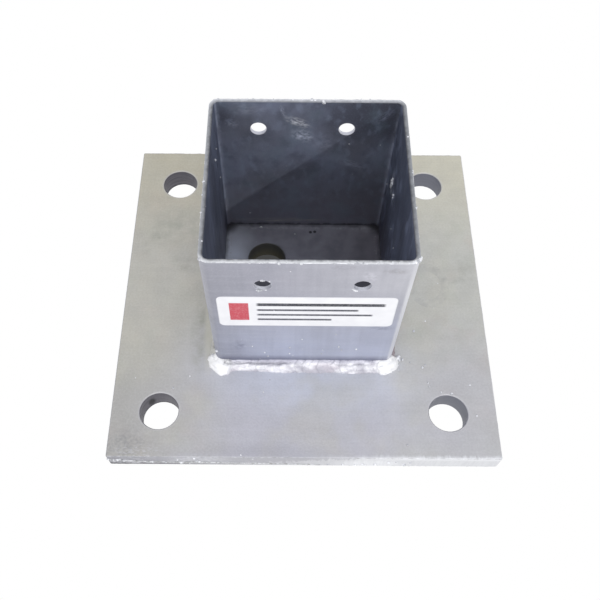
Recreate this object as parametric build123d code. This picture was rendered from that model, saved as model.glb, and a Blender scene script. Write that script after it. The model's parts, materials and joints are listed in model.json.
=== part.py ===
from build123d import *
import os
from math import pi, sin, sqrt

# Bolt-down post base: a square plate, a square tube socket welded on it, and a label.
# X runs along the labelled front wall, Y goes to the rear and Z stands up.
# The origin is the centre of the plate's underside. Millimetres.

# Base plate
plate_side = 200.0
plate_thick = 12.0
plate_corner = 1.0         # radius of the four upright corners
plate_edge = 0.8           # roll-over round the top and bottom edges
anchor_inset = 25.0        # plate edge to the centre of an anchor hole
anchor_dia = 20.0
drain_dia = 21.0
drain_offset = 21.0        # the drain is this far left of the centre and behind it
hole_arris = 0.6           # bevel round the mouth of each hole in the plate

# Post socket, cut from square hollow section
socket_side = 94.0
socket_wall = 2.0
socket_corner = 4.5        # outer radius of the section's corners
socket_height = 95.0       # from the plate's top face to the rim
rim_arris = 0.3            # bevel filed on both edges of the sawn rim

# Fixing holes through the front and rear walls
fixing_dia = 8.0
fixing_pitch = 44.0        # centre to centre in each pair
fixing_drop = 17.5         # rim to the centres
front_pair_shift = 2.0     # each pair was punched by itself, a little off the centre line
rear_pair_shift = -2.0

# Fillet welds round the socket's foot
front_leg = 6.3            # leg of the front and rear runs
side_leg = 3.2             # leg of the two side runs
bead_crown = 0.62          # middle of the bead's face, as a share of the leg from each wall
ripple_pitch = 4.0         # one stroke of the weld to the next
ripple_fall = 0.75         # share of a stroke over which its ripple falls away
ripple_depth = 0.09        # how far a ripple falls, as a share of the leg
swell_depth = 0.07         # slow thick and thin along a run, as a share of the leg
swell_length = 31.0
corner_reach = 3.5         # how far the front and rear runs pass the side walls
corner_wrap = 8.0          # how far they turn back along the side walls
corner_lump = 0.16         # extra leg there, as a share of the leg
lump_length = 8.0          # stretch of a run over which the lump builds up
side_overlap = 1.5         # how far a side run goes under the lump at each of its ends
run_dome = 2.6             # length over which a run rounds off to nothing at each end
dome_steps = (0.03, 0.3, 0.65)   # sections of that rounding, as shares of its length

# Label on the front wall
label_margin = 1.0         # from the ends of the wall's flat to the label's
label_height = 26.5
label_gap = 5.5            # lower edge of the fixing holes to the label's top
label_corner = 3.0
label_thick = 0.15

# Worked out from the sizes above
half_socket = socket_side / 2
socket_bore = socket_side - 2 * socket_wall
bore_corner = socket_corner - socket_wall
rim_height = plate_thick + socket_height
anchor_pitch = plate_side - 2 * anchor_inset
fixing_height = rim_height - fixing_drop
front_reach = half_socket + corner_reach
side_reach = half_socket - corner_wrap + side_overlap


def plate_holes():
    """Place and diameter of each of the five holes through the plate."""
    corners = [(place.position.X, place.position.Y, anchor_dia)
               for place in GridLocations(anchor_pitch, anchor_pitch, 2, 2)]
    return corners + [(-drain_offset, drain_offset, drain_dia)]


def base_plate():
    plate = extrude(RectangleRounded(plate_side, plate_side, plate_corner), plate_thick)
    faces = plate.faces().sort_by(Axis.Z)
    plate = fillet(faces[0].edges() + faces[-1].edges(), plate_edge)
    for x, y, dia in plate_holes():
        hole = Pos(x, y, plate_thick / 2) * Cylinder(dia / 2, 2 * plate_thick)
        mouth = Pos(x, y, plate_thick - hole_arris / 2) * Cone(dia / 2, dia / 2 + hole_arris, hole_arris)
        plate = plate - hole - mouth
    return plate


def socket_outline(side, corner):
    """A filled square prism with rounded corners, as high as the socket, on the plate's top face."""
    return Pos(0, 0, plate_thick) * extrude(RectangleRounded(side, side, corner), socket_height)


def fixing_hole(x, y):
    return Pos(x, y, fixing_height) * Rot(90, 0, 0) * Cylinder(fixing_dia / 2, 2 * socket_wall)


def post_socket():
    tube = socket_outline(socket_side, socket_corner) - socket_outline(socket_bore, bore_corner)
    tube = chamfer(tube.faces().sort_by(Axis.Z)[-1].edges(), rim_arris)
    wall_middle = half_socket - socket_wall / 2
    for side in (-1, 1):
        along = side * fixing_pitch / 2
        tube -= fixing_hole(along + front_pair_shift, -wall_middle)
        tube -= fixing_hole(along + rear_pair_shift, wall_middle)
    return tube


def bead_section(station, leg):
    """The bead's section at one station: u is out from the wall and v is up from the plate.
    It reaches past both faces, to be trimmed to them, and back round the corner of the socket."""
    outline = Polyline(
        (0, leg),
        (-corner_wrap / 2, leg * bead_crown),
        (-corner_wrap, 0),
        (-corner_wrap, -leg),
        (leg, -leg),
        (leg, 0),
    )
    face_of_bead = ThreePointArc((leg, 0), (bead_crown * leg, bead_crown * leg), (0, leg))
    across = Plane(origin=(station, -half_socket, plate_thick), x_dir=(0, -1, 0), z_dir=(-1, 0, 0))
    return across * make_face(outline + face_of_bead)


def bead_stations(reach):
    """Stations along a run and the share of the leg at each: ripple crests, ripple feet, round ends."""
    strokes = round(2 * reach / ripple_pitch)
    stroke = 2 * reach / strokes
    ripples = []
    for number in range(strokes):
        crest = number * stroke - reach
        ripples.append((crest, 1.0))
        ripples.append((crest + ripple_fall * stroke, 1 - ripple_depth))
    stations = [(at, share) for at, share in ripples if abs(at) < reach - run_dome]
    for step in dome_steps:
        share = sqrt(1 - (1 - step) ** 2)
        at = reach - step * run_dome
        stations += [(-at, share), (at, share)]
    return sorted(stations)


def bead_leg(station, leg, reach, lump):
    """Leg of the bead at a station: slow swells along the run, and a lump towards each end."""
    swell = swell_depth * sin(2 * pi * station / swell_length)
    build_up = max(0.0, 1 - (reach - abs(station)) / lump_length)
    return leg * (1 + swell + lump * build_up)


def weld_run(leg, reach, lump):
    """One run along the foot of the front wall, laid in strokes that each fall away to the next."""
    bead = loft([bead_section(at, share * bead_leg(at, leg, reach, lump)) for at, share in bead_stations(reach)],
                ruled=True)
    slab = Pos(0, 0, plate_thick / 2) * Box(plate_side, plate_side, plate_thick)
    return bead - socket_outline(socket_side, socket_corner) - slab


def side_run(turn, end_runs):
    """A side run, which goes a little way under the lumps at the ends of the front and rear runs."""
    run = Rot(0, 0, turn) * weld_run(side_leg, side_reach, 0.0)
    return run - end_runs[0] - end_runs[1]


def front_label():
    width = socket_side - 2 * socket_corner - 2 * label_margin
    top = fixing_height - fixing_dia / 2 - label_gap
    film = extrude(RectangleRounded(width, label_height, label_corner), label_thick)
    return Pos(0, -half_socket, top - label_height / 2) * Rot(90, 0, 0) * film


weld_front = weld_run(front_leg, front_reach, corner_lump)
weld_rear = Rot(0, 0, 180) * weld_front
nodes = {
    "base_plate": base_plate(),
    "post_socket": post_socket(),
    "weld_front": weld_front,
    "weld_rear": weld_rear,
    "weld_right": side_run(90, (weld_front, weld_rear)),
    "weld_left": side_run(270, (weld_front, weld_rear)),
    "front_label": front_label(),
}

os.makedirs("parts", exist_ok=True)
for name, shape in nodes.items():
    export_step(shape, "parts/" + name + ".step")
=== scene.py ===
import json
import math

import bmesh
import bpy
from mathutils import Matrix, Vector

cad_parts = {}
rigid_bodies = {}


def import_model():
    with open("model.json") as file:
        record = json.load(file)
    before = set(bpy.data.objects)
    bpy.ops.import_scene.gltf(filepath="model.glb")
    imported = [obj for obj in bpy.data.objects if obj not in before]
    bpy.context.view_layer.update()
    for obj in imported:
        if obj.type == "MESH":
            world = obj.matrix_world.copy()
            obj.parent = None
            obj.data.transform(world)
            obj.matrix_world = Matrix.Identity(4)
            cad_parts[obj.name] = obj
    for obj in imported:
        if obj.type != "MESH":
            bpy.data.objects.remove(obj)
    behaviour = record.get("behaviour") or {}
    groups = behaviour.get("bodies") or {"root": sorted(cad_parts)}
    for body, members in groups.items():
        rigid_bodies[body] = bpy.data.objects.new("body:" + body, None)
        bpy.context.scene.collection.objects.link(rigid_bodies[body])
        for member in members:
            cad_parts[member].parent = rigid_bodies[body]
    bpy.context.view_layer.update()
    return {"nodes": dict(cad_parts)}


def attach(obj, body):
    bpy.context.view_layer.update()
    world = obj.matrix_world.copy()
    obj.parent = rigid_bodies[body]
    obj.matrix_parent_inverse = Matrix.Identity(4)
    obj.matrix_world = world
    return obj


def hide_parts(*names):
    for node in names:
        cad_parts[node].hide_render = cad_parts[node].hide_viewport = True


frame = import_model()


# Base plate
# A 200 mm square of 12 mm mild steel with four anchor holes and a drain hole punched through it.
# It is hot-dip galvanised: the zinc is matt and cloudy on the faces, dull down the holes, and
# palest along the front edge, where a reflection of light is painted.
plate_half = 100.0         # millimetres, like every length in this file unless it says otherwise
plate_top = 12.0
anchor_at = 75.0
anchor_radius = 10.0
drain_at = (-21.0, 21.0)
drain_radius = 10.5
bore_half = 45.0           # inside faces of the socket
grain_size = 1.1           # zinc grain is 0.2 to 0.5 mm; drawn coarser so that it shows
rolling_size = 1.6         # rolling lines, also coarser than the real 0.3 mm


def linear(code):
    """An sRGB hex colour as the linear colour that shaders take."""
    parts = [int(code[i:i + 2], 16) / 255 for i in (1, 3, 5)]
    return [p / 12.92 if p <= 0.04045 else ((p + 0.055) / 1.055) ** 2.4 for p in parts] + [1.0]


def add(tree, kind, sockets=(), **settings):
    """Adds a node with its settings, and gives its inputs values or links, by name or in their order.
    A kind without a family is a shader's. A MapRange takes its value, its old range and its new one."""
    node = tree.nodes.new(kind if "Node" in kind else "ShaderNode" + kind)
    for name, value in settings.items():
        setattr(node, name, value)
    inputs = [socket for socket in node.inputs if not socket.is_unavailable]
    for key, value in sockets.items() if isinstance(sockets, dict) else enumerate(sockets):
        socket = inputs[key] if isinstance(key, int) else next(s for s in inputs if s.name == key)
        if isinstance(value, bpy.types.Node):
            value = next(s for s in value.outputs if not s.is_unavailable)
        if isinstance(value, bpy.types.NodeSocket):
            tree.links.new(value, socket)
        else:
            socket.default_value = value
    return node


def start_finish(name):
    """A new material, its tree, and the place of each point of the surface in millimetres."""
    material = bpy.data.materials.new(name)
    material.use_nodes = True
    tree = material.node_tree
    tree.nodes.clear()
    place = add(tree, "TexCoord").outputs["Object"]
    return material, tree, add(tree, "VectorMath", {0: place, "Scale": 1000.0}, operation="SCALE")


def end_finish(tree, colour, metallic, roughness, height, depth):
    """The shader at the end of a finish. depth is the relief of the whole height, in millimetres."""
    relief = add(tree, "Bump", {"Distance": depth / 1000, "Height": height})
    shader = add(tree, "BsdfPrincipled", {"Base Color": colour, "Metallic": metallic, "Roughness": roughness,
                                          "Normal": relief})
    add(tree, "OutputMaterial", {"Surface": shader})


def patches(place, size, stretch=(1, 1, 1), detail=2.0, low=0.3, high=0.7):
    """Soft random patches from 0 to 1, about size millimetres across, drawn out where stretch is small."""
    tree = place.id_data
    stretched = add(tree, "VectorMath", [place, stretch], operation="MULTIPLY")
    noise = add(tree, "TexNoise", {"Vector": stretched, "Scale": 1 / size, "Detail": detail})
    return add(tree, "MapRange", [noise, low, high])


def reach_from(place, centre, flatten=(1, 1, 1)):
    """Distance from a point, in millimetres, with each axis multiplied by its factor."""
    tree = place.id_data
    moved = add(tree, "VectorMath", [place, centre], operation="SUBTRACT")
    scaled = add(tree, "VectorMath", [moved, flatten], operation="MULTIPLY")
    return add(tree, "VectorMath", [scaled], operation="LENGTH").outputs["Value"]


def lay(colour, tone, field, start, end, most=1.0, through=1.0):
    """Lays a tone over the colour so far: none of it where the field is at start, and most at end.
    through is a second field, which lets only its own share of the tone come out."""
    tree = field.id_data
    amount = add(tree, "MapRange", [field, start, end, 0.0, most], interpolation_type="SMOOTHSTEP")
    amount = add(tree, "Math", [amount, through], operation="MULTIPLY")
    below, above = (linear(paint) if isinstance(paint, str) else paint for paint in (colour, tone))
    return add(tree, "Mix", {"Factor": amount, "A": below, "B": above}, data_type="RGBA")


def lay_all(colour, *layers):
    """Lays one tone after another over a colour. Each layer holds what lay takes after the colour."""
    for layer in layers:
        colour = lay(colour, *layer)
    return colour


# Hot-dip zinc on hot-rolled plate: part metal and part dull patina, so it is nearly matt. It is a warm
# grey with a fine grain and faint lines from the rolls; a painted reflection and painted light make it bluer
# and brighter in front of the weld.
plate_zinc, tree, place = start_finish("hot_dip_zinc_on_rolled_plate")
across, along, up = add(tree, "SeparateXYZ", [place]).outputs
mirrored = add(tree, "VectorMath", [place], operation="ABSOLUTE")
side = add(tree, "SeparateXYZ", [mirrored]).outputs
square = add(tree, "Math", [side["X"], side["Y"]], operation="MAXIMUM")
blots = patches(place, 11, detail=4)
grain = patches(place, grain_size)
rolled = patches(place, rolling_size, (0.02, 1, 1))
ragged = patches(place, 2.2, detail=3)
before_weld = reach_from(place, (6, -72, 12), (0.72, 1, 0))
painted_reflection_reach = add(tree, "Math", [patches(place, 45), 16, before_weld], operation="MULTIPLY_ADD")
colour = lay_all(
    "#BFBDB5",
    ("#C9C9C2", across, -70, 80),
    ("#C8B8AE", patches(place, 17, detail=3), 0.45, 1, 0.26),
    ("#B9C0B0", patches(place, 13, (1, 0.8, 1), detail=3), 0.45, 1, 0.22),
    ("#CAC8BE", reach_from(place, (-80, -10, 12), (1, 0.6, 0)), 45, 12, 0.6),
    ("#B2B1B2", reach_from(place, (-92, -84, 12), (1, 1, 0)), 48, 12, 0.5),
    (lay("#C4BEA8", "#D6D2BE", across, -40, 60), along, 15, 95, 0.8),
    # painted reflection, then painted light: lavender and then pale in front of the weld
    ("#C8C8D3", painted_reflection_reach, 82, 28, 0.85),
    ("#DFE3EF", reach_from(place, (4, -54, 12), (0.42, 1, 0)), 32, 6, 0.75),
    ("#C9C6B8", patches(place, 24, detail=3), 0.35, 1, 0.35),
    ("#AFAFBA", reach_from(place, (-25, -100, 12), (0.016, 0.09, 0)), 1, 0.2, 0.45),
    ("#C2C1CA", reach_from(place, (88, -78, 12), (1, 0.55, 0)), 40, 10, 0.55),
    ("#9C9C9A", blots, 0, 1, 0.12),
    ("#88888A", rolled, 0, 1, 0.045),
    ("#E6E6E8", grain, 0.4, 1, 0.10),
    ("#77777A", grain, 0.5, 0, 0.06))

# Dull stains and scuffs left by handling, and a worn ring to the right of the socket. Each row is a
# stain's middle, how it is flattened, its tone and how strong it is.
smeared = patches(place, 6, detail=5, low=0.38, high=0.66)
for stain, flat, tone, most in (
        ((-72, 42, 12), (0.035, 0.055, 0), "#93968C", 0.34),
        ((-84.8, 35.9, 12), (0.13, 0.19, 0), "#7E8178", 0.28),
        ((-91.5, 27, 12), (0.13, 0.13, 0), "#84867E", 0.26),
        ((-67, 17.5, 12), (0.09, 0.11, 0), "#7D7F74", 0.28),
        ((92, 13, 12), (0.12, 0.055, 0), "#878A80", 0.26),
        ((-56, -30, 12), (0.13, 0.03, 0), "#9A9B8A", 0.45),
        ((-90, -90, 12), (0.09, 0.08, 0), "#85868A", 0.35),
        ((84, 6, 12), (0.07, 0.3, 0), "#85887F", 0.22)):
    colour = lay(colour, tone, reach_from(place, stain, flat), 1, 0.2, most, smeared)
colour = lay(colour, "#D2D0C0", reach_from(place, (-51, -22, 12), (1, 0.12, 0)), 4.5, 1.5, 0.6)
on_ring = add(tree, "Math", [reach_from(place, (71, 3, 12), (1, 0.8, 0)), 9.5, 2.2], operation="COMPARE")
colour = lay(colour, "#8C8D92", on_ring, 0, 1, 0.22, smeared)

# The cropped sides. On the front one a painted reflection of light makes the face pale, with a ragged
# upper limit that drops towards the left, and there it stops above a dark band at the foot, which is painted
# shadow.
run_lines = patches(place, 1.5, (1, 0.3, 0.2), detail=3)
limit = add(tree, "MapRange", [across, -45, 48, 3.4, 12.8], interpolation_type="SMOOTHSTEP")
below = add(tree, "Math", [
    add(tree, "Math", [limit, up], operation="SUBTRACT"),
    add(tree, "Math", [run_lines, 5], operation="MULTIPLY")], operation="ADD")
# painted reflection: the front face is pale, most of all to the right, with one bright spot
face_with_painted_reflection = lay_all("#C2C2C7", ("#DBDCDF", across, -40, 60),
                  ("#EDEEF1", reach_from(place, (34, -100, 4), (0.045, 0, 0.12)), 1, 0.3, 0.7))
left_run = reach_from(place, (-53, -100, 7), (0.05, 0, 0))
# painted shadow: a dark band at the foot of the front face, towards the left
painted_shadow_at_foot = add(tree, "Math", [ragged, 1.6, up], operation="MULTIPLY_ADD")
left_end = add(tree, "MapRange", [across, -22, -90])
cropped = lay_all(
    "#9E9EA4",
    ("#B2B2B8", across, -85, -55),
    (face_with_painted_reflection, below, 1, 4.2),
    ("#D2D3D8", left_run, 1, 0.2, 0.8, patches(place, 2.5, detail=4)),
    ("#8E8E94", patches(place, 1.3, (1, 1, 0.12)), 0, 1, 0.12),
    ("#5E5E64", painted_shadow_at_foot, 4.4, 3, 0.95, left_end))
on_side = add(tree, "MapRange", [square, plate_half - 0.6, plate_half - 0.2])
forwards = add(tree, "Math", [along, -1], operation="MULTIPLY")
arris_painted_highlight = add(tree, "Math", [run_lines, 1.4, forwards], operation="MULTIPLY_ADD")
right_end = add(tree, "Math", [
    add(tree, "MapRange", [across, 0, 60]),
    add(tree, "MapRange", [up, 8.5, 11])], operation="MULTIPLY")
colour = lay_all(
    colour,
    ("#C4C5CC", reach_from(place, (-53, -99, 12), (0.05, 0.4, 0)), 1, 0.2, 0.5, ragged),
    (cropped, on_side, 0, 1),
    # painted highlight: a pale line along the top of the front face, on its right half
    ("#E6E7EA", arris_painted_highlight, plate_half - 1.6, plate_half + 0.6, 0.9, right_end))

# A grey crust with pale crumbs in it, on the plate's front left corner.
crust = patches(place, 1.5, detail=4, low=0.42, high=0.58)
crumbs = patches(place, 1.2, (0.5, 1, 1), detail=4, low=0.5, high=0.62)
colour = lay(colour, "#88888C", reach_from(place, (-92, -95, 12), (0.6, 1, 0)), 11, 3, 0.28, crust)
colour = lay(colour, "#D6D6DC", reach_from(place, (-84, -97, 12), (0.3, 1, 0)), 5, 2, 0.4, crumbs)

# The holes: a brighter ring at the mouth, and a dull punched wall with faint rings, darker at its foot
# and paler on the right side of the plate. One hole has a bare spot.
from_anchor = add(tree, "Math", [
    reach_from(mirrored, (anchor_at, anchor_at, 0), (1, 1, 0)), anchor_radius], operation="SUBTRACT")
from_drain = add(tree, "Math", [
    reach_from(place, (*drain_at, 0), (1, 1, 0)), drain_radius], operation="SUBTRACT")
from_wall = add(tree, "Math", [from_anchor, from_drain], operation="MINIMUM")
hole_wall = lay_all(
    "#58565E",
    ("#6C6A72", patches(place, 2.4, (0.15, 0.15, 1.6), detail=3), 0, 1),
    ("#3E3E44", up, 2, 0.3, 0.6, patches(place, 6, low=0.3, high=0.6)),
    ("#18181E", reach_from(place, (-80.6, -66.7, 4.6), (1, 1, 0.6)), 2.8, 1, 0.9),
    ("#888B96", across, -20, 80, 0.65))
colour = lay(colour, "#DADADD", from_wall, 1.3, 0.5, 0.35)
colour = lay(colour, hole_wall, from_wall, 0.3, 0.1)

# Inside the socket the zinc stayed dark under flux and ash, made darker still by painted shade, most of all
# in the corners, and painted light makes it paler to the left and at the foot of the drain. The root of the
# tube shows as a dim broken line with crumbs of zinc beside it, and there are a few pits.
nearer = add(tree, "MapRange", [along, 47, 23])
root = add(tree, "Math", [ragged, 0.9, square], operation="MULTIPLY_ADD")
beside_root = add(tree, "Math", [square, bore_half - 2.7, 0.7], operation="COMPARE")
bare_floor = lay_all(
    "#7C7C86",
    ("#9797A3", patches(place, 12, detail=3), 0, 1),
    ("#6F6A72", across, 12, 44, 0.5),
    # painted light on the left of the socket's floor
    ("#E9F0FF", across, -24, -41, 0.97, nearer),
    ("#A9A8B2", reach_from(place, (38, 42, 12), (0.09, 0.3, 0)), 1, 0.2, 0.9, smeared),
    ("#34343A", root, bore_half - 2, bore_half + 0.6, 0.55, patches(place, 9, low=0.1, high=0.5)),
    ("#B9BAC2", beside_root, 0, 1, 0.45, patches(place, 1.6, detail=3, low=0.5, high=0.7)),
    # painted shade in the four corners of the socket's floor
    ("#2A2A30", reach_from(mirrored, (45, 45, 12)), 9.5, 2.5, 0.85))
for pit in ((4.5, 39.5, 12), (7, 39.8, 12), (-3, 17, 12), (9, 14, 12)):
    bare_floor = lay(bare_floor, "#19191C", reach_from(place, pit), 1.3, 0.5, 0.9)
# the drain's wall turns paler and browner towards its foot: painted light coming up from below
bare_floor = lay(bare_floor, lay("#75736F", "#948F7D", up, 9, 1), from_wall, 0.3, 0.1)
covered = add(tree, "MapRange", [square, bore_half + 1, bore_half - 0.2])
colour = lay(colour, bare_floor, covered, 0, 1)

metallic = add(tree, "MapRange", [covered, 0, 1, 0.4, 0.12])
roughness = add(tree, "MapRange", [blots, 0, 1, 0.5, 0.62])
height = add(tree, "Math", [ragged, 0.7, grain], operation="MULTIPLY_ADD")
end_finish(tree, colour, metallic, roughness, height, 0.03)
frame["nodes"]["base_plate"].material_slots[0].material = plate_zinc


# Post socket
# A length of 94 x 94 x 2 mm square hollow section, sawn square and welded upright on the plate.
# The outside is bluish satin zinc. The inside stayed dark and painted shade darkens it further; it has pale
# rubs where posts were tried, and a band of painted light.
socket_half = 47.0
outer_radius = 4.5
core_half = socket_half - outer_radius     # centres of the section's corner radii
rim_top = 107.0
hole_height = 89.5

# Hot-dip zinc on cold-formed tube: smoother than the plate's, with faint lines along the tube from
# the mill and across it from the bath, blue low down, and paler towards the rim on the right with painted
# light.
socket_zinc, tree, place = start_finish("hot_dip_zinc_on_square_hollow_section")
across, along, up = add(tree, "SeparateXYZ", [place]).outputs
mirrored = add(tree, "VectorMath", [place], operation="ABSOLUTE")
past_core = add(tree, "VectorMath", [mirrored, (core_half, core_half, 1000)], operation="SUBTRACT")
past_core = add(tree, "VectorMath", [past_core, (0, 0, 0)], operation="MAXIMUM")
from_core = add(tree, "VectorMath", [past_core], operation="LENGTH").outputs["Value"]
corner_place = add(tree, "SeparateXYZ", [past_core]).outputs
in_corner = add(tree, "Math", [corner_place["X"], corner_place["Y"]], operation="MINIMUM")
grain = patches(place, 0.9)
tube_lines = patches(place, 3.5, (1, 1, 0.06))
bath_lines = patches(place, 2.4, (0.12, 0.12, 1), detail=3)
blots = patches(place, 16, detail=4)
specks = patches(place, 2.2, detail=3, low=0.35, high=0.65)
right_side_painted_light = add(tree, "MapRange", [across, -20, 45])
colour = lay_all(
    "#C5CADC",
    ("#B4B4BF", up, 25, 92),
    ("#A4A8BC", reach_from(place, (-44, -47, 24), (0.7, 0, 1)), 16, 5, 0.5),
    # painted light: paler towards the rim on the right
    ("#D9D9DE", up, 50, 95, 0.7, right_side_painted_light),
    ("#9D9EA8", across, -10, -47, 0.42),
    ("#8E909C", blots, 0, 1, 0.18),
    ("#DEDFE6", bath_lines, 0.3, 1, 0.10),
    ("#8A8C99", tube_lines, 0.3, 1, 0.07),
    ("#E8E9EE", grain, 0.4, 1, 0.08))
for stain, flat, tone, most in (
        ((-33, -47, 33), (0.22, 0, 0.13), "#7E8098", 0.5),
        ((37, -47, 51.5), (0.11, 0, 0.3), "#888AA0", 0.45),
        ((15, -47, 104), (0.12, 0, 0.4), "#8C8A8E", 0.4),
        ((37, -47, 101), (0.13, 0, 0.3), "#8E8B8C", 0.4),
        ((27, -47, 97), (0.18, 0, 0.16), "#E9E8F0", 0.45),
        ((-46, -45, 60), (0.2, 0.2, 0.1), "#8F9096", 0.5)):
    colour = lay(colour, tone, reach_from(place, stain, flat), 1, 0.2, most, specks)
# a dark band low on the outside walls, just above the welds: partly heat tint, partly painted shade
colour = lay(colour, "#5F6078", up, 23, 16.5, 0.6)
# painted highlight: a pale strip down the right rounded corner, fading towards the rim
corner_painted_highlight = add(tree, "Math", [
    add(tree, "MapRange", [across, 0, 1, 0.2, 0.95]),
    add(tree, "MapRange", [up, 84, 100, 1, 0.4])], operation="MULTIPLY")
colour = lay(colour, "#F1F2F5", in_corner, 0.9, 2.3, 0.68, corner_painted_highlight)

# Inside: dark blue-grey ash under thin zinc, cloudy and scuffed, with crystals of salt in the corners, and
# darker still with painted shade. The two side walls have an ash of their own, streaked up and down, and
# more painted shade, most on the left wall.
beside = add(tree, "SeparateXYZ", [mirrored]).outputs["X"]
wall_ash_and_painted_shade = lay_all(
    "#575D6F",
    ("#7B849E", patches(place, 30, (1, 0.8, 0.35), detail=5), 0.2, 0.9),
    ("#5B5563", up, 60, 25, 0.5),
    ("#3C4050", patches(place, 9, (1, 0.7, 0.4), detail=5, low=0.42, high=0.6), 0, 1, 0.35),
    ("#A6B0CE", patches(place, 7, (1, 0.8, 0.5), detail=5, low=0.5, high=0.68), 0, 1, 0.35),
    # painted shade: the left wall darker still
    ("#3A3D49", across, -44, -45, 0.5))
ash_and_painted_shade = lay_all(
    "#787B88",
    ("#8D93A8", patches(place, 26, detail=3), 0, 1),
    ("#555864", patches(place, 9, detail=6), 0.35, 1, 0.42),
    ("#50525E", reach_from(place, (40, 45, 100), (0.6, 0, 1)), 28, 8, 0.9),
    ("#565864", reach_from(place, (-44, 45, 100), (1, 0, 0.8)), 12, 3, 0.6),
    ("#A6B2CA", patches(place, 4, (1, 1, 0.6), detail=6), 0.5, 1, 0.28),
    ("#94919B", up, 62, 18, 0.65),
    ("#7E93A0", patches(place, 14, detail=4, low=0.45, high=0.7), 0, 1, 0.25),
    ("#A9AFC2", grain, 0.5, 1, 0.10),
    (wall_ash_and_painted_shade, beside, 44.3, 44.9, 0.9))

# The rubs that posts left on the inside. The band of rows that runs down to the right across the rear wall,
# from (-4.5, 45, 94) to (24.5, 45, 64.5), is partly rubs and partly painted light. Each row is a rub's
# middle, its turn in degrees, its half lengths along the three axes, its tone and how strong it is.
for rub_and_painted_light, turn, size, tone, most in (
        ((-4.5, 45, 94), (0, 27, 0), (9, 99, 3.8), "#F6F8FF", 1),
        ((-2, 45, 85), (0, 25, 0), (8, 99, 5.5), "#E0E6F8", 1),
        ((8, 45, 80), (0, 40, 0), (9, 99, 9), "#A9B0C6", 0.5),
        ((-12, 45, 101), (0, 75, 0), (5, 99, 1.6), "#CFD5E8", 0.6),
        ((24.5, 45, 64.5), (0, 27, 0), (11, 99, 3.4), "#AEB4C8", 0.7),
        ((-21, 45, 73), (0, 0, 0), (16, 99, 10), "#9AA2B4", 0.35),
        ((-28, 45, 102), (0, 0, 0), (13, 99, 5), "#B4B9CA", 0.4),
        ((-37, 45, 93), (0, 30, 0), (5, 99, 4), "#B4BACD", 0.5),
        ((38, 45, 98), (0, -45, 0), (9, 99, 3), "#A9AFC6", 0.55),
        ((-2, 45, 74), (0, 35, 0), (10, 99, 4), "#8F96AA", 0.35),
        ((45, 34, 90), (0, 0, 0), (99, 12, 16), "#8F97B0", 0.4),
        ((45, 40, 50), (0, 0, 0), (99, 6, 26), "#A6AEC6", 0.4),
        ((45, 31, 66), (0, 0, 0), (99, 4, 12), "#F4F6FF", 1),
        ((45, 23, 65), (0, 0, 0), (99, 5, 9), "#D4DAF0", 0.9),
        ((-45, 30, 80), (0, 0, 0), (99, 10, 22), "#8A93AC", 0.4),
        ((-12, 45, 16.5), (0, 0, 0), (34, 99, 3), "#C0BDB8", 0.8)):
    turned = [math.radians(angle) for angle in turn]
    local = add(tree, "Mapping", {"Vector": place, "Location": rub_and_painted_light, "Rotation": turned, "Scale": size},
                vector_type="TEXTURE")
    scuffed = patches(local, 0.3, detail=5, low=0.4, high=0.66)
    away = add(tree, "VectorMath", [local], operation="LENGTH").outputs["Value"]
    ash_and_painted_shade = lay(ash_and_painted_shade, tone, away, 1, 0.1, most, scuffed)
foot = add(tree, "Math", [specks, -1.2, up], operation="MULTIPLY_ADD")
ash_and_painted_shade = lay(ash_and_painted_shade, "#B4BBD0", in_corner, 1, 1.7, 0.5, patches(place, 7, detail=4, low=0.4, high=0.6))
ash_and_painted_shade = lay(ash_and_painted_shade, "#3C3B40", foot, 13.8, 11.7, 0.75)
inside = add(tree, "MapRange", [from_core, 3.8, 3.2])
colour = lay(colour, ash_and_painted_shade, inside, 0, 1)

# The fixing holes' walls are pale with fresh zinc.
for hole in ((-20, -46), (24, -46), (-24, 46), (20, 46)):
    colour = lay(colour, "#D6D7DF", reach_from(place, (*hole, hole_height), (1, 0.1, 1)), 4.25, 4.05, 0.9)

# The sawn rim is dull towards the bore and paler towards the outside, most of all at the front.
rim_outside = lay_all("#ACAEB2", ("#EFF0F2", along, -40, -46, 0.85), ("#E2E4E8", along, 40, 46, 0.8),
                      ("#94979B", across, 44, 46, 0.7))
rim_inside = lay_all("#4E5056", ("#A4A6AC", along, 40, 46, 0.75), ("#55575D", across, 44, 46, 0.8))
outwards = add(tree, "Math", [specks, 0.5, from_core], operation="MULTIPLY_ADD")
colour = lay(colour, lay(rim_inside, rim_outside, outwards, 2.5, 4.5), up, rim_top - 0.5, rim_top - 0.25)

metallic = add(tree, "MapRange", [inside, 0, 1, 0.45, 0.12])
roughness = add(tree, "MapRange", [tube_lines, 0, 1, 0.42, 0.54])
height = add(tree, "Math", [specks, 0.6, grain], operation="MULTIPLY_ADD")
end_finish(tree, colour, metallic, roughness, height, 0.025)
frame["nodes"]["post_socket"].material_slots[0].material = socket_zinc


# Weld runs
# Four fillet runs join the socket's foot to the plate. The front and rear ones are heavy, lie a
# little flat, and turn the corners in lumps; the side runs are light. All are thick with bright zinc.
wrap = 5.5                 # how far the front and rear runs turn back along the side walls
side_start = 3.0           # how far in from the corner a side run starts and stops
stroke = 4.0               # one move of the welder's hand to the next
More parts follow.
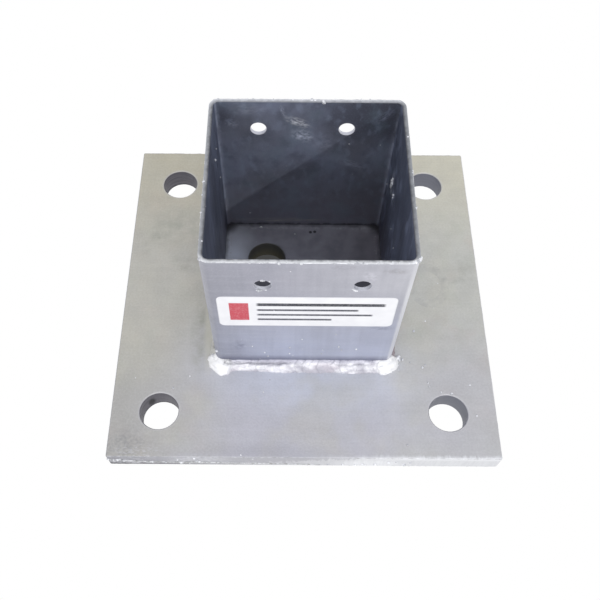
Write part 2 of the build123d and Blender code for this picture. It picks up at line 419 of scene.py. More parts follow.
# Each pair below is a share of a run's length, and how thick the run is there.
front_swells = (
    (0, 0.7), (0.02, 0.86), (0.045, 1.0), (0.07, 1.22), (0.09, 1.26), (0.108, 1.02), (0.135, 0.84),
    (0.22, 0.86), (0.31, 0.9), (0.42, 1.03), (0.5, 0.98), (0.6, 1.02), (0.7, 0.98), (0.8, 1.0),
    (0.885, 1.0), (0.915, 1.1), (0.945, 1.04), (0.97, 0.84), (1, 0.6))
rear_swells = (
    (0, 0.6), (0.05, 0.9), (0.09, 1.15), (0.14, 0.92), (0.3, 1.02), (0.45, 0.9), (0.62, 1.06),
    (0.75, 0.94), (0.86, 1.08), (0.92, 1.24), (0.96, 0.9), (1, 0.5))
side_swells = ((0, 0.8), (0.2, 1.0), (0.4, 0.85), (0.55, 1.08), (0.8, 0.9), (1, 0.8))


def edge_path(name, points, closed=False):
    """A mesh of edges only, from point to point in millimetres, for a tree to follow."""
    count = len(points)
    edges = [(i, (i + 1) % count) for i in range(count if closed else count - 1)]
    path = bpy.data.meshes.new(name)
    path.from_pydata([[value / 1000 for value in point] for point in points], edges, [])
    return path


def start_tree(name, inputs):
    """A Geometry Nodes tree with its named inputs. Returns the tree and its input sockets by name."""
    tree = bpy.data.node_groups.new(name, "GeometryNodeTree")
    for label, kind in inputs.items():
        tree.interface.new_socket(label, in_out="INPUT", socket_type="NodeSocket" + kind)
    tree.interface.new_socket("Geometry", in_out="OUTPUT", socket_type="NodeSocketGeometry")
    return tree, add(tree, "NodeGroupInput").outputs


def end_tree(tree, geometry, material):
    """Makes a tree's instances real, smooths them, gives them their material and hands them out."""
    real = add(tree, "GeometryNodeRealizeInstances", [geometry])
    smooth = add(tree, "GeometryNodeSetShadeSmooth", {"Geometry": real, "Shade Smooth": True})
    finished = add(tree, "GeometryNodeSetMaterial", {"Geometry": smooth, "Material": material})
    add(tree, "NodeGroupOutput", [finished])


def round_corners(tree, given, steps):
    """The given path as a curve whose corners are rounded, each in so many steps."""
    curve = add(tree, "GeometryNodeMeshToCurve", {"Mesh": given["Path"]})
    return add(tree, "GeometryNodeFilletCurve", {
        "Curve": curve, "Count": steps, "Radius": given["Corner Radius"], "Limit Radius": True}, mode="POLY")


def grow(name, start, tree, values):
    """Runs a tree on a start mesh, and keeps the result as a plain mesh that rides on the base."""
    piece = bpy.data.objects.new(name, start)
    bpy.context.scene.collection.objects.link(piece)
    modifier = piece.modifiers.new(tree.name, "NODES")
    modifier.node_group = tree
    for socket in tree.interface.items_tree:
        if socket.in_out == "INPUT" and socket.name in values:
            modifier[socket.identifier] = values[socket.name]
    plain = bpy.data.meshes.new_from_object(piece.evaluated_get(bpy.context.evaluated_depsgraph_get()))
    piece.modifiers.clear()
    piece.data = plain
    plain.name = name
    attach(piece, "root")
    return piece


def weld_run_tree(name, swells):
    """A fillet bead along a path: a grid whose long side follows the path and whose short side turns
    from the plate up to the wall, with its two long edges drawn together inside the steel."""
    tree, given = start_tree(name, {
        "Path": "Geometry", "Corner Radius": "Float", "Leg": "Float", "Stroke": "Float", "Ripple": "Float",
        "Stations": "Int", "Seed": "Int", "Material": "Material"})
    columns = 22
    path = round_corners(tree, given, 12)
    length = add(tree, "Math", [add(tree, "GeometryNodeCurveLength", [path]), 1000.0], operation="MULTIPLY")
    grid = add(tree, "GeometryNodeMeshGrid", {
        "Size X": 1.0, "Size Y": 1.0, "Vertices X": given["Stations"], "Vertices Y": columns})
    flat = add(tree, "SeparateXYZ", [add(tree, "GeometryNodeInputPosition")]).outputs
    share, turn = (add(tree, "Math", [flat[axis], 0.5], operation="ADD") for axis in "XY")
    edge = 1 / (columns - 1)
    across = add(tree, "MapRange", [turn, edge, 1 - edge])
    on_face = add(tree, "Math", [
        add(tree, "Math", [turn, edge / 2], operation="GREATER_THAN"),
        add(tree, "Math", [turn, 1 - edge / 2], operation="LESS_THAN")], operation="MULTIPLY")
    here = add(tree, "GeometryNodeSampleCurve", {"Curves": path, "Factor": share}, mode="FACTOR",
               use_all_curves=True).outputs
    along = add(tree, "Math", [share, length], operation="MULTIPLY")
    from_end = add(tree, "Math", [
        along, add(tree, "Math", [length, along], operation="SUBTRACT")], operation="MINIMUM")

    # Ripples: each stroke bows forward in the middle of the bead and falls away to the next.
    middle = add(tree, "Math", [across, 2.0, -1.0], operation="MULTIPLY_ADD")
    bow = add(tree, "Math", [
        add(tree, "Math", [middle, middle], operation="MULTIPLY"), -1.7, along], operation="MULTIPLY_ADD")
    where = add(tree, "CombineXYZ", [
        along,
        add(tree, "Math", [across, 9.0], operation="MULTIPLY"),
        add(tree, "Math", [given["Seed"], 37.0], operation="MULTIPLY")])
    wander = add(tree, "TexNoise", {"Vector": where, "Scale": 1 / 9, "Detail": 1.0})
    beat = add(tree, "Math", [
        add(tree, "Math", [wander, 5.0, bow], operation="MULTIPLY_ADD"), given["Stroke"]], operation="DIVIDE")
    fall = add(tree, "Math", [add(tree, "Math", [beat], operation="FRACT"), 1.5], operation="POWER")
    number_of_stroke = add(tree, "Math", [beat], operation="FLOOR")
    uneven = add(tree, "FunctionNodeRandomValue", {
        "Min": -0.03, "Max": 0.03, "ID": number_of_stroke, "Seed": given["Seed"]})

    # The run's swells and lumps, with crumbs, blobs of zinc drawn out along it, and long waves. The
    # crumbs and blobs are strongest near its ends.
    swell = add(tree, "FloatCurve", {"Value": share})
    curve = swell.mapping.curves[0]
    for number, (at, size) in enumerate(swells):
        if number < 2:
            curve.points[number].location = (at, size / 2)
        else:
            curve.points.new(at, size / 2)
    swell.mapping.update()
    drawn_out = add(tree, "VectorMath", [where, (0.45, 1.0, 1.0)], operation="MULTIPLY")
    blobs = add(tree, "TexNoise", {"Vector": drawn_out, "Scale": 1 / 2.4, "Detail": 3.0, "Roughness": 0.55})
    long_waves = add(tree, "TexNoise", {"Vector": where, "Scale": 1 / 14, "Detail": 1.0})
    crumbs = add(tree, "TexNoise", {"Vector": where, "Scale": 1 / 1.7, "Detail": 2.0})
    crumbly = add(tree, "MapRange", [from_end, 8.0, 14.0, 0.6, 0.08])
    lumpy = add(tree, "MapRange", [from_end, 7.0, 15.0, 0.5, 0.26])
    size = add(tree, "Math", [swell, 2.0, uneven], operation="MULTIPLY_ADD")
    for noise, strength in ((crumbs, crumbly), (blobs, lumpy), (long_waves, 0.24)):
        centred = add(tree, "Math", [noise, 0.5], operation="SUBTRACT")
        size = add(tree, "Math", [centred, strength, size], operation="MULTIPLY_ADD")

    # Taken off it: the ripples, and a broken groove under the upper edge. Both ends are round.
    groove_line = add(tree, "Math", [blobs, 0.5, 0.5], operation="MULTIPLY_ADD")
    from_line = add(tree, "Math", [
        add(tree, "Math", [across, groove_line], operation="SUBTRACT")], operation="ABSOLUTE")
    groove = add(tree, "Math", [
        add(tree, "MapRange", [from_line, 0.15, 0.02, 0.0, 0.14], interpolation_type="SMOOTHSTEP"),
        add(tree, "MapRange", [long_waves, 0.38, 0.55])], operation="MULTIPLY")
    for cut in (add(tree, "Math", [fall, given["Ripple"]], operation="MULTIPLY"), groove):
        size = add(tree, "Math", [size, cut], operation="SUBTRACT")
    to_end = add(tree, "MapRange", [from_end, 0.0, 3.0, 1.0, 0.0])
    round_end = add(tree, "Math", [
        1.0, add(tree, "Math", [to_end, 2.0], operation="POWER")], operation="SUBTRACT")
    for factor in (add(tree, "Math", [round_end], operation="SQRT"), on_face):
        size = add(tree, "Math", [size, factor], operation="MULTIPLY")
    leg = add(tree, "Math", [size, given["Leg"]], operation="MULTIPLY")

    # The bead's section is between a flat fillet and a quarter round, lower on the wall than it is wide.
    angle = add(tree, "Math", [across, math.pi / 2], operation="MULTIPLY")
    out, rise = (add(tree, "Math", [angle], operation=way) for way in ("COSINE", "SINE"))
    chord = add(tree, "Math", [0.45, add(tree, "Math", [out, rise], operation="ADD")], operation="DIVIDE")
    reach = add(tree, "Math", [add(tree, "Math", [chord, 0.55], operation="ADD"), leg], operation="MULTIPLY")
    toe = add(tree, "Math", [reach, out, -0.15], operation="MULTIPLY_ADD")
    squat = add(tree, "Math", [0.8, add(tree, "Math", [size, 1.0], operation="MAXIMUM")], operation="DIVIDE")
    top = add(tree, "Math", [
        add(tree, "Math", [reach, squat], operation="MULTIPLY"), rise, -0.15], operation="MULTIPLY_ADD")
    outward = add(tree, "VectorMath", [here["Tangent"], (0, 0, 1)], operation="CROSS_PRODUCT")
    sideways = add(tree, "VectorMath", {0: outward, "Scale": toe}, operation="SCALE")
    lifted = add(tree, "VectorMath", [sideways, add(tree, "CombineXYZ", {"Z": top})], operation="ADD")
    offset = add(tree, "VectorMath", {0: lifted, "Scale": 0.001}, operation="SCALE")
    place = add(tree, "VectorMath", [offset, here["Position"]], operation="ADD")
    marked = grid
    for label, value in (("across_bead", across), ("groove", groove)):
        marked = add(tree, "GeometryNodeStoreNamedAttribute", {
            "Geometry": marked, "Name": label, "Value": value})
    bead = add(tree, "GeometryNodeSetPosition", {"Geometry": marked, "Position": place})
    closed = add(tree, "GeometryNodeMergeByDistance", {"Geometry": bead, "Distance": 0.00003})
    end_tree(tree, closed, given["Material"])
    return tree


# Bright zinc over weld metal: white where it lies thick, lilac-grey in the groove and near the wall,
# and dark in small pits. The lumps at the corners are laid pure white, partly their bright zinc and partly
# painted light over their rounded sides, with one dark hollow at the left.
weld_zinc, tree, place = start_finish("hot_dip_zinc_on_weld_bead")
across = add(tree, "Attribute", attribute_name="across_bead").outputs["Fac"]
groove = add(tree, "Attribute", attribute_name="groove").outputs["Fac"]
mirrored = add(tree, "VectorMath", [place], operation="ABSOLUTE")
thick = patches(place, 5.0, (0.7, 1.0, 1.0), detail=5.0, low=0.34, high=0.66)
hollow = reach_from(place, (-40.3, -48.6, 17), (0.8, 1, 0.7))
colour = lay_all(
    "#BDBBC4",
    ("#F6F5F8", thick, 0, 1),
    ("#D2C8D0", patches(place, 9, low=0.5, high=0.7), 0, 1, 0.35),
    ("#C4C3D2", across, 0.68, 0.9, 0.7),
    ("#96949F", groove, 0.03, 0.14, 0.6),
    ("#6B6870", patches(place, 1.5, low=0.2, high=0.5), 0.3, 0.05, 0.7),
    # the corner lumps: bright zinc, and painted light that keeps their rounded sides white
    ("#FFFFFF", reach_from(mirrored, (46, 49, 12), (1, 1, 0)), 9, 5.5, 0.96),
    ("#66646C", hollow, 3.2, 1.2, 0.8, patches(place, 1.6, detail=3.0)),
    ("#C3C3B8", add(tree, "SeparateXYZ", [mirrored]).outputs["Y"], 44, 41, 0.75),
    ("#93808A", reach_from(place, (49, -40, 14)), 5.0, 2.0, 0.75))
shine = add(tree, "MapRange", [thick, 0, 1, 0.55, 0.36])
end_finish(tree, colour, 0.25, shine, patches(place, 0.9, detail=3.0), 0.07)

end_run = [(-socket_half, wrap - socket_half, plate_top), (-socket_half, -socket_half, plate_top),
           (socket_half, -socket_half, plate_top), (socket_half, wrap - socket_half, plate_top)]
side_run = [(socket_half, side_start - socket_half, plate_top),
            (socket_half, socket_half - side_start, plate_top)]
for name, swells, points, quarters, leg, ripple, stations, seed in (
        ("weld_front", front_swells, end_run, 0, 6.1, 0.06, 280, 3),
        ("weld_rear", rear_swells, end_run, 2, 6.1, 0.11, 280, 8),
        ("weld_right", side_swells, side_run, 0, 3.2, 0.12, 200, 5),
        ("weld_left", side_swells, side_run, 2, 4.4, 0.12, 200, 6)):
    spun = [(Matrix.Rotation(quarters * math.pi / 2, 3, "Z") @ Vector(point)) for point in points]
    bead = grow(name + "_bead", edge_path(name + "_path", spun), weld_run_tree(name + "_run", swells), {
        "Corner Radius": outer_radius / 1000, "Leg": leg, "Stroke": stroke, "Ripple": ripple,
        "Stations": stations, "Seed": seed, "Material": weld_zinc})
    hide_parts(name)


# Zinc along the edges
# The bath leaves a thin ragged thread of zinc along the sharp edges, with small dags where it ran
# off last: along the sawn rim, most at the front and rear, and in a run along the plate's front.
rim_inset = 0.15           # how far inside the rim's outer faces its thread lies
plate_inset = 0.25         # and the plate's threads inside its sides
thread_drop = 0.25         # how far the threads lie below the top edges
thread_rise = 0.55         # and above the plate's bottom edge
plate_edge = 0.8           # radius of the plate's upright corners


def edge_thread_tree():
    """A thread along a path that swells and thins, with dags of its own zinc set on it here and there."""
    tree, given = start_tree("edge_thread", {
        "Path": "Geometry", "Corner Radius": "Float", "Thread": "Float", "Dag": "Float", "Dag Share": "Float",
        "Dag Spacing": "Float", "Heavy": "Vector", "Seed": "Int", "Material": "Material"})
    thread_size, dag_size, dag_spacing = (
        add(tree, "Math", [given[label], 1000.0], operation="DIVIDE")
        for label in ("Thread", "Dag", "Dag Spacing"))
    path = round_corners(tree, given, 8)
    fine = add(tree, "GeometryNodeResampleCurve", {"Curve": path, "Length": 0.0009}, mode="LENGTH")
    here = add(tree, "GeometryNodeInputPosition")
    spot = add(tree, "VectorMath", {0: here, "Scale": 1000.0}, operation="SCALE")
    shifted = add(tree, "VectorMath", [spot, given["Seed"]], operation="ADD")
    mirrored = add(tree, "VectorMath", [spot], operation="ABSOLUTE")
    heaviness = add(tree, "VectorMath", [mirrored, given["Heavy"]], operation="DOT_PRODUCT").outputs["Value"]
    heavy = add(tree, "MapRange", [heaviness, 0.9, 1.0, 0.4])
    waver = add(tree, "TexNoise", {"Vector": shifted, "Scale": 1 / 2.5, "Detail": 2.0}).outputs["Color"]
    stray = add(tree, "VectorMath", [waver, (0.5, 0.5, 0.5)], operation="SUBTRACT")
    stray = add(tree, "VectorMath", {0: stray, "Scale": 0.0005}, operation="SCALE")
    loose = add(tree, "GeometryNodeSetPosition", {"Geometry": fine, "Offset": stray})
    thick = add(tree, "TexNoise", {"Vector": shifted, "Scale": 1 / 4, "Detail": 3.0})
    width = add(tree, "MapRange", [thick, 0.3, 0.7, 0.25, 1.5])
    width = add(tree, "Math", [width, heavy], operation="MULTIPLY")
    ring = add(tree, "GeometryNodeCurvePrimitiveCircle", {"Resolution": 6, "Radius": thread_size})
    thread = add(tree, "GeometryNodeCurveToMesh", {
        "Curve": loose, "Profile Curve": ring, "Scale": width, "Fill Caps": True})

    spots = add(tree, "GeometryNodeResampleCurve", {"Curve": path, "Length": dag_spacing}, mode="LENGTH")
    crowd = add(tree, "TexNoise", {"Vector": shifted, "Scale": 1 / 17, "Detail": 1.0})
    odds = add(tree, "MapRange", [crowd, 0.4, 0.65])
    for factor in (given["Dag Share"], heavy):
        odds = add(tree, "Math", [odds, factor], operation="MULTIPLY")
    chance = add(tree, "FunctionNodeRandomValue", {"Min": 0.0, "Max": 1.0, "Seed": given["Seed"]})
    chosen = add(tree, "Math", [chance, odds], operation="LESS_THAN")
    sizes, turns = (
        add(tree, "FunctionNodeRandomValue", {"Min": [least] * 3, "Max": [most] * 3, "Seed": seed},
            data_type="FLOAT_VECTOR") for least, most, seed in ((0.35, 1.0, 11), (0.0, 6.2, 12)))
    dag = add(tree, "GeometryNodeMeshIcoSphere", {"Subdivisions": 2, "Radius": dag_size})
    dags = add(tree, "GeometryNodeInstanceOnPoints", {
        "Points": spots, "Selection": chosen, "Instance": dag, "Rotation": turns, "Scale": sizes})
    both = add(tree, "GeometryNodeJoinGeometry", [thread])
    tree.links.new(dags.outputs[0], both.inputs[0])
    end_tree(tree, both, given["Material"])
    return tree


# Zinc run thick is smooth, pale and the glossiest of the coating. The same zinc where it is thin, on
# the plate's edges and in the run along its front, is greyer and less glossy.
edge_zincs = []
for name, dull, bright, metallic, matt, glossy in (
        ("hot_dip_zinc_run_thick", "#B9BBC0", "#F6F7FA", 0.35, 0.5, 0.32),
        ("hot_dip_zinc_run_thin", "#A9AAA9", "#D8D9DC", 0.4, 0.6, 0.45)):
    zinc, tree, place = start_finish(name)
    patchy = patches(place, 2.0, detail=3.0, low=0.35, high=0.65)
    shine = add(tree, "MapRange", [patchy, 0, 1, matt, glossy])
    end_finish(tree, lay(dull, bright, patchy, 0, 1), metallic, shine, patches(place, 0.7), 0.03)
    edge_zincs.append(zinc)
thick_zinc, thin_zinc = edge_zincs


def square_loop(half, height):
    """The four corners of a level square."""
    return [(half, half, height), (-half, half, height), (-half, -half, height), (half, -half, height)]


front_run = [(across, -plate_half, height) for across, height in (
    (-98.5, 7.4), (-91, 6.8), (-80, 5.2), (-66, 4.5), (-55, 4.8), (-30, 3.8), (-10, 3.2), (8, 2.0))]
rim_loop = square_loop(socket_half - rim_inset, rim_top - thread_drop)
top_loop = square_loop(plate_half - plate_inset, plate_top - thread_drop)
bottom_loop = square_loop(plate_half - plate_inset, thread_rise)
front_and_rear = 1 / plate_half            # a thread is heavy where its y times this is 1 or more
thread_tree = edge_thread_tree()
for name, points, closed, radius, thread, dag, share, spacing, heavy, seed, zinc in (
        ("rim_zinc", rim_loop, True, outer_radius - rim_inset, 0.19, 0.65, 0.24, 1.4, 0.0216, 2, thick_zinc),
        ("plate_front_zinc", front_run, False, 3.0, 0.42, 0.8, 0.6, 1.0, front_and_rear, 5, thin_zinc),
        ("plate_top_edge_zinc", top_loop, True, plate_edge, 0.12, 0.3, 0.07, 2.2, front_and_rear, 4,
         thin_zinc),
        ("plate_bottom_edge_zinc", bottom_loop, True, plate_edge, 0.2, 0.45, 0.25, 2.2, front_and_rear, 7,
         thin_zinc)):
    grow(name, edge_path(name + "_path", points, closed), thread_tree, {
        "Corner Radius": radius / 1000, "Thread": thread, "Dag": dag, "Dag Share": share,
        "Dag Spacing": spacing, "Heavy": (0, heavy, 0), "Seed": seed, "Material": zinc})


# Beads and spatter
# Droplets of weld spatter and zinc stand on the plate, the walls and the rim. The bold ones are set
# where they show most, and fine ones are scattered, most thickly round the welds.
bold_drops = {              # each drop's place on its surface, and its radius
    "plate": [
        (60.7, -26.7, 0.7), (57.2, -46, 0.6), (63.7, -48.9, 0.7), (65.2, -47.4, 0.5), (65.8, -58, 0.5),
        (66.4, -60, 0.45), (72.2, -63.4, 0.65), (77.8, -64.2, 0.75), (87.9, -59, 0.5), (89.5, -76.4, 0.55),
        (68.9, 58.7, 0.6), (51.3, -42.6, 1.1), (50.6, -43.6, 1.1), (51.6, -44.4, 0.9), (53.2, -44.2, 0.7),
        (50.6, -47.5, 0.8), (51, -50.5, 0.6), (-60.4, -55, 0.5), (-68.8, -62, 0.6), (-21.1, -63.9, 0.5),
        (-18, -56.9, 0.5), (52.5, -92.6, 0.5), (-24.8, 42.8, 0.8)],
    "front": [
        (-7.5, 30.5, 0.6), (-26.7, 31.5, 0.4), (9.6, 28, 0.4), (17.5, 31.7, 0.5), (19.2, 28.2, 0.45),
        (26.7, 29.1, 0.5), (-7.6, 23.8, 0.45), (-18.9, 20.4, 0.55), (-20.5, 24.5, 0.4), (-22.6, 85.5, 0.6),
        (-21.9, 85.4, 0.75), (-21.2, 85.4, 0.7), (-20.5, 85.5, 0.5), (-18.6, 85.8, 0.5), (-20.7, 93.3, 0.45),
        (-20, 93.4, 0.55), (-19.3, 93.3, 0.45), (-16.9, 92.6, 0.4), (19.9, 86.9, 0.5), (20.6, 86.2, 0.6),
        (21.3, 85.7, 0.65), (22, 85.5, 0.5)],
    "left_inside": [(27.4, 86.2, 0.7), (35.1, 85.8, 0.45), (38.7, 60.6, 0.4)],
    "right_inside": [
        (31.6, 62.2, 0.8), (31.2, 64, 1.1), (30.8, 65.9, 1.2), (31.3, 67.8, 1.0), (29.8, 66.6, 0.8),
        (30.9, 69.5, 0.7), (22.4, 64.9, 0.6), (22.9, 66.3, 0.7), (21.9, 67.6, 0.5), (43, 51.2, 0.5)],
    "rim": [
        (-12.6, -46.8, 0.85), (-3.3, -47, 0.6), (10.2, -46.8, 0.55), (20.3, -46.4, 0.85), (24.2, -46.4, 0.6),
        (29.1, -46.3, 0.75), (35, -46.2, 0.8), (38, -46.3, 0.6), (42, -46.2, 0.8), (43.6, -46.1, 0.9),
        (44.8, -45.8, 1.0), (45.7, -45.3, 0.95), (46.4, -44.7, 0.85), (46.9, -44, 0.7), (47.2, -43.3, 0.5),
        (-46, -45, 0.9), (2, 46.6, 1.1), (3.6, 46.4, 0.9), (7.6, 45.5, 1.0), (8.2, 45.1, 0.7),
        (-7, 46.4, 0.7), (-46.6, -3.6, 0.7), (-45.6, -36.1, 0.6), (46.2, 23.5, 0.6), (46.8, -17.6, 0.6)],
    "left_corner": [(-45.7, -45.9, 0.8)],
    "plate_side": [
        (-99.3, 8.4, 0.9), (-96.7, 7.4, 0.7), (-94.6, 7.8, 0.9), (-93.3, 8.7, 0.5), (-91.5, 6.6, 0.9),
        (-77, 4.9, 0.9), (-70.4, 4.5, 0.6), (-64.1, 8.3, 0.5), (-62.5, 4, 1.0), (-58.3, 4.2, 0.7),
        (-55.4, 10.4, 0.6), (-54.6, 6.7, 0.9), (-53.3, 5.5, 0.7), (12.4, 2.2, 0.6), (20, 2.6, 0.7),
        (26.5, 2, 0.8), (30.2, 3.2, 0.7), (31.8, 1.8, 0.6), (36.7, 3.5, 0.9), (43.3, 6, 0.8),
        (47, 7, 0.6), (51.6, 3, 0.9), (54.4, 6.2, 0.7)],
}
stand = {                   # where that place lies on the base; drops on the rim are sunk a little
    "plate": lambda a, b: (a, b, plate_top),
    "front": lambda a, b: (a, -socket_half, b),
    "left_inside": lambda a, b: (-bore_half, a, b),
    "right_inside": lambda a, b: (bore_half, a, b),
    "rim": lambda a, b: (a, b, rim_top - 0.5),
    "left_corner": lambda a, b: (a, b, 24.0),
    "plate_side": lambda a, b: (a, -plate_half, b),
}


def end_droplets(tree, given, settings):
    """Sets a droplet on each point, 1 mm in radius before it is scaled, and ends the tree."""
    drop = add(tree, "GeometryNodeMeshIcoSphere", {"Subdivisions": 2, "Radius": 0.001})
    drops = add(tree, "GeometryNodeInstanceOnPoints", {"Instance": drop, **settings})
    end_tree(tree, drops, given["Material"])


def droplet_trees():
    """Two trees that set flattened droplets: one on the given points, and one strewn over a surface."""
    tree, given = start_tree("set_droplets", {"Points": "Geometry", "Material": "Material"})
    radius = add(tree, "GeometryNodeInputNamedAttribute", {"Name": "radius_mm"})
    uneven = add(tree, "FunctionNodeRandomValue", {"Min": [0.75] * 3, "Max": [1.2] * 3, "Seed": 4},
                 data_type="FLOAT_VECTOR")
    scale = add(tree, "VectorMath", {0: uneven, "Scale": radius.outputs["Attribute"]}, operation="SCALE")
    end_droplets(tree, given, {"Points": given["Points"], "Scale": scale})
    set_tree = tree

    tree, given = start_tree("strewn_droplets", {
        "Surface": "Geometry", "Density": "Float", "Weld Density": "Float", "Largest": "Float", "Seed": "Int",
        "Material": "Material"})
    here = add(tree, "GeometryNodeInputPosition")
    spot = add(tree, "VectorMath", {0: here, "Scale": 1000.0}, operation="SCALE")
    side = add(tree, "SeparateXYZ", [add(tree, "VectorMath", [spot], operation="ABSOLUTE")]).outputs
    square = add(tree, "Math", [side["X"], side["Y"]], operation="MAXIMUM")
    beyond = add(tree, "Math", [
        add(tree, "Math", [square, socket_half], operation="SUBTRACT"),
        add(tree, "Math", [side["Z"], plate_top], operation="SUBTRACT")], operation="ADD")
    close = add(tree, "MapRange", [beyond, 4.0, 24.0, given["Weld Density"], 0.0],
                interpolation_type="SMOOTHSTEP")
    density = add(tree, "Math", [close, given["Density"]], operation="ADD")
    outside = add(tree, "Math", [square, socket_half - 1], operation="GREATER_THAN")
    above_floor = add(tree, "Math", [side["Z"], 0.5], operation="GREATER_THAN")
    for factor in (add(tree, "MapRange", [outside, 0, 1, 0.25]), above_floor):
        density = add(tree, "Math", [density, factor], operation="MULTIPLY")
    strewn = add(tree, "GeometryNodeDistributePointsOnFaces", {
        "Mesh": given["Surface"], "Density": density, "Seed": given["Seed"]})
    small = add(tree, "FunctionNodeRandomValue", {"Min": 0.0, "Max": 1.0, "Seed": 21})
    radius = add(tree, "Math", [
        add(tree, "Math", [small, 3.0], operation="POWER"), 0.8, 0.2], operation="MULTIPLY_ADD")
    radius = add(tree, "Math", [radius, given["Largest"]], operation="MULTIPLY")
    scale = add(tree, "VectorMath", {0: (1.0, 1.0, 0.55), "Scale": radius}, operation="SCALE")
    end_droplets(tree, given, {"Points": strewn, "Rotation": strewn.outputs["Rotation"], "Scale": scale})
    return set_tree, tree


set_tree, strewn_tree = droplet_trees()
drops = [(*stand[where](a, b), radius) for where, spots in bold_drops.items() for a, b, radius in spots]
points = edge_path("bold_droplets_points", [drop[:3] for drop in drops])
points.attributes.new("radius_mm", "FLOAT", "POINT").data.foreach_set("value", [drop[3] for drop in drops])
grow("bold_droplets", points, set_tree, {"Material": thick_zinc})
for name, node, density, near_weld, largest, seed in (
        ("plate_droplets", "base_plate", 700.0, 8000.0, 0.55, 3),
        ("socket_droplets", "post_socket", 1200.0, 7000.0, 0.45, 4)):
    grow(name, frame["nodes"][node].data.copy(), strewn_tree, {
        "Density": density, "Weld Density": near_weld, "Largest": largest, "Seed": seed,
        "Material": thick_zinc})


# Label
# A die-cut film of white vinyl, 0.15 mm thick with rounded corners, stuck flat on the front wall.
# It carries a plain printed block and ruled lines, and its edges are a little grubby.
label_width = 83.0
label_low = 53.5
label_high = 80.0
label_corner = 3.0
film = 0.15
film_edge = 0.05           # how far the film's front edges are rounded
label_middle = (label_low + label_high) / 2
label_height = label_high - label_low
corner_steps = 8

label_shape = bmesh.new()
ring = []
for right, above, start in ((1, 1, 0), (-1, 1, 90), (-1, -1, 180), (1, -1, 270)):
    for step in range(corner_steps + 1):
        turn = math.radians(start + step * 90 / corner_steps)
        x = right * (label_width / 2 - label_corner) + label_corner * math.cos(turn)
        z = label_middle + above * (label_height / 2 - label_corner) + label_corner * math.sin(turn)
        ring.append(label_shape.verts.new((x / 1000, -socket_half / 1000, z / 1000)))
back = label_shape.faces.new(ring)
front = bmesh.ops.extrude_face_region(label_shape, geom=[back])["geom"]
for vertex in [part for part in front if isinstance(part, bmesh.types.BMVert)]:
    vertex.co.y -= film / 1000
front_edges = {edge for part in front if isinstance(part, bmesh.types.BMFace) for edge in part.edges}
bmesh.ops.bevel(label_shape, geom=list(front_edges), offset=film_edge / 1000, segments=2, affect="EDGES")
bmesh.ops.recalc_face_normals(label_shape, faces=label_shape.faces)
label_mesh = bpy.data.meshes.new("label_film")
label_shape.to_mesh(label_mesh)
label_shape.free()
label = bpy.data.objects.new("label_film", label_mesh)
bpy.context.scene.collection.objects.link(label)

# White gloss vinyl with a flat print in red and near-black ink. The film follows the steel's slight
# waves. Each row is a printed bar's left, right, lower and upper edge, and its ink.
vinyl, tree, place = start_finish("printed_white_vinyl")
colour = lay("#EEEEF1", "#F5F5F7", patches(place, 8), 0, 1)
print_wear = add(tree, "MapRange", [patches(place, 0.7, low=0.2, high=0.6), 0, 1, 0.8])
for left, right, low, high, ink in (
        (-36, -27, 59.0, 74.5, "#C8414F"),
        (-23, 36, 72.0, 74.5, "#2C2E38"),
        (-23, 24, 67.6, 69.2, "#4A4C57"),
        (-23, 31, 63.3, 64.9, "#4A4C57"),
        (-23, 12, 59.0, 60.6, "#4A4C57")):
    middle = ((left + right) / 2, 0, (low + high) / 2)
    per_half = (2 / (right - left), 0, 2 / (high - low))
    centred = add(tree, "VectorMath", [place, middle], operation="SUBTRACT")
    scaled = add(tree, "VectorMath", [centred, per_half], operation="MULTIPLY")
    reach = add(tree, "SeparateXYZ", [add(tree, "VectorMath", [scaled], operation="ABSOLUTE")]).outputs
    edge = add(tree, "Math", [reach["X"], reach["Z"]], operation="MAXIMUM")
    colour = lay(colour, ink, edge, 1.03, 0.97, 1.0, print_wear)
centred = add(tree, "VectorMath", [place, (0, 0, label_middle)], operation="SUBTRACT")
reach = add(tree, "SeparateXYZ", [add(tree, "VectorMath", [centred], operation="ABSOLUTE")]).outputs
from_edge = [add(tree, "Math", [reach[axis], extent / 2], operation="SUBTRACT")
             for axis, extent in (("X", label_width), ("Z", label_height))]
colour = lay(colour, "#A9ABB2", add(tree, "Math", from_edge, operation="MAXIMUM"), -0.6, 0.0, 0.3)
shine = add(tree, "MapRange", [patches(place, 5), 0, 1, 0.32, 0.42])
end_finish(tree, colour, 0.0, shine, patches(place, 6), 0.06)
label_mesh.materials.append(vinyl)
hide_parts("front_label")
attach(label, "root")


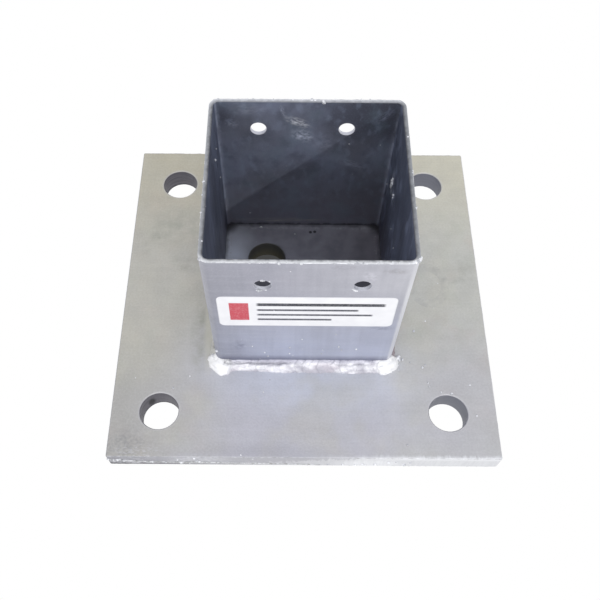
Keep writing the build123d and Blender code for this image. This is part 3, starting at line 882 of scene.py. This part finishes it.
# Camera, light and floor
# The camera looks down on the front wall as the photograph does. The floor and the sky are plain and
# pale. One broad lamp in front lights all but the socket, and two small ones beside it light the
# socket, where each throws the edge of a wall's shadow down the inside of the rear wall.
lens = bpy.data.cameras.new("photograph")
lens.sensor_width = 36.0
lens.lens = 42.53
lens.shift_x = 0.025
lens.shift_y = 0.0867
camera = bpy.data.objects.new("photograph", lens)
aim = Matrix.Translation((-0.009455, -0.214282, 0.353538))
for angle, axis in ((0.0085, "Z"), (0.4713, "X"), (-0.0025, "Y")):
    aim = aim @ Matrix.Rotation(angle, 4, axis)
camera.matrix_world = aim
bpy.context.scene.collection.objects.link(camera)
bpy.context.scene.camera = camera

socket = frame["nodes"]["post_socket"]
socket_only = bpy.data.collections.new("lit_by_the_small_lamps")
socket_only.objects.link(socket)
all_but_socket = bpy.data.collections.new("lit_by_the_broad_lamp")
for lit_piece in bpy.context.scene.objects:
    if lit_piece.type == "MESH" and lit_piece.name != socket.name:
        all_but_socket.objects.link(lit_piece)
for name, size, watts, where, lit in (
        ("front_lamp", 1.2, 7.0, (0.1, -1.1, 0.9), all_but_socket),
        ("right_lamp", 0.015, 3.15, (0.84, -0.46, 0.83), socket_only),
        ("left_lamp", 0.015, 0.7, (-0.85, -0.46, 0.65), socket_only)):
    lamp = bpy.data.lights.new(name, "AREA")
    lamp.size = size
    lamp.energy = watts
    lamp_stand = bpy.data.objects.new(name, lamp)
    lamp_stand.location = where
    towards = Vector((0, 0, 0.05)) - lamp_stand.location
    lamp_stand.rotation_euler = towards.to_track_quat("-Z", "Y").to_euler()
    lamp_stand.light_linking.receiver_collection = lit
    bpy.context.scene.collection.objects.link(lamp_stand)

sky = bpy.data.worlds.new("pale_sky")
sky.use_nodes = True
sky.node_tree.nodes["Background"].inputs["Color"].default_value = linear("#FAFBFF")
sky.node_tree.nodes["Background"].inputs["Strength"].default_value = 0.85
bpy.context.scene.world = sky
bpy.context.scene.view_settings.view_transform = "Standard"

# The floor glows an even white, apart from a painted shadow under the middle of the plate, so that it
# does not shine up through the drain.
floor_mesh = bpy.data.meshes.new("floor")
floor_shape = bmesh.new()
bmesh.ops.create_grid(floor_shape, x_segments=1, y_segments=1, size=6.0)
floor_shape.to_mesh(floor_mesh)
floor_shape.free()
floor = bpy.data.objects.new("floor", floor_mesh)
floor.location.z = -0.0005
bpy.context.scene.collection.objects.link(floor)
white, tree, place = start_finish("floor")
shade = add(tree, "MapRange", [reach_from(place, (0, 0, 0)), 50.0, 62.0, 0.06])
glow = add(tree, "Emission", {"Color": (1, 1, 1, 1), "Strength": shade})
add(tree, "OutputMaterial", {"Surface": glow})
floor.data.materials.append(white)
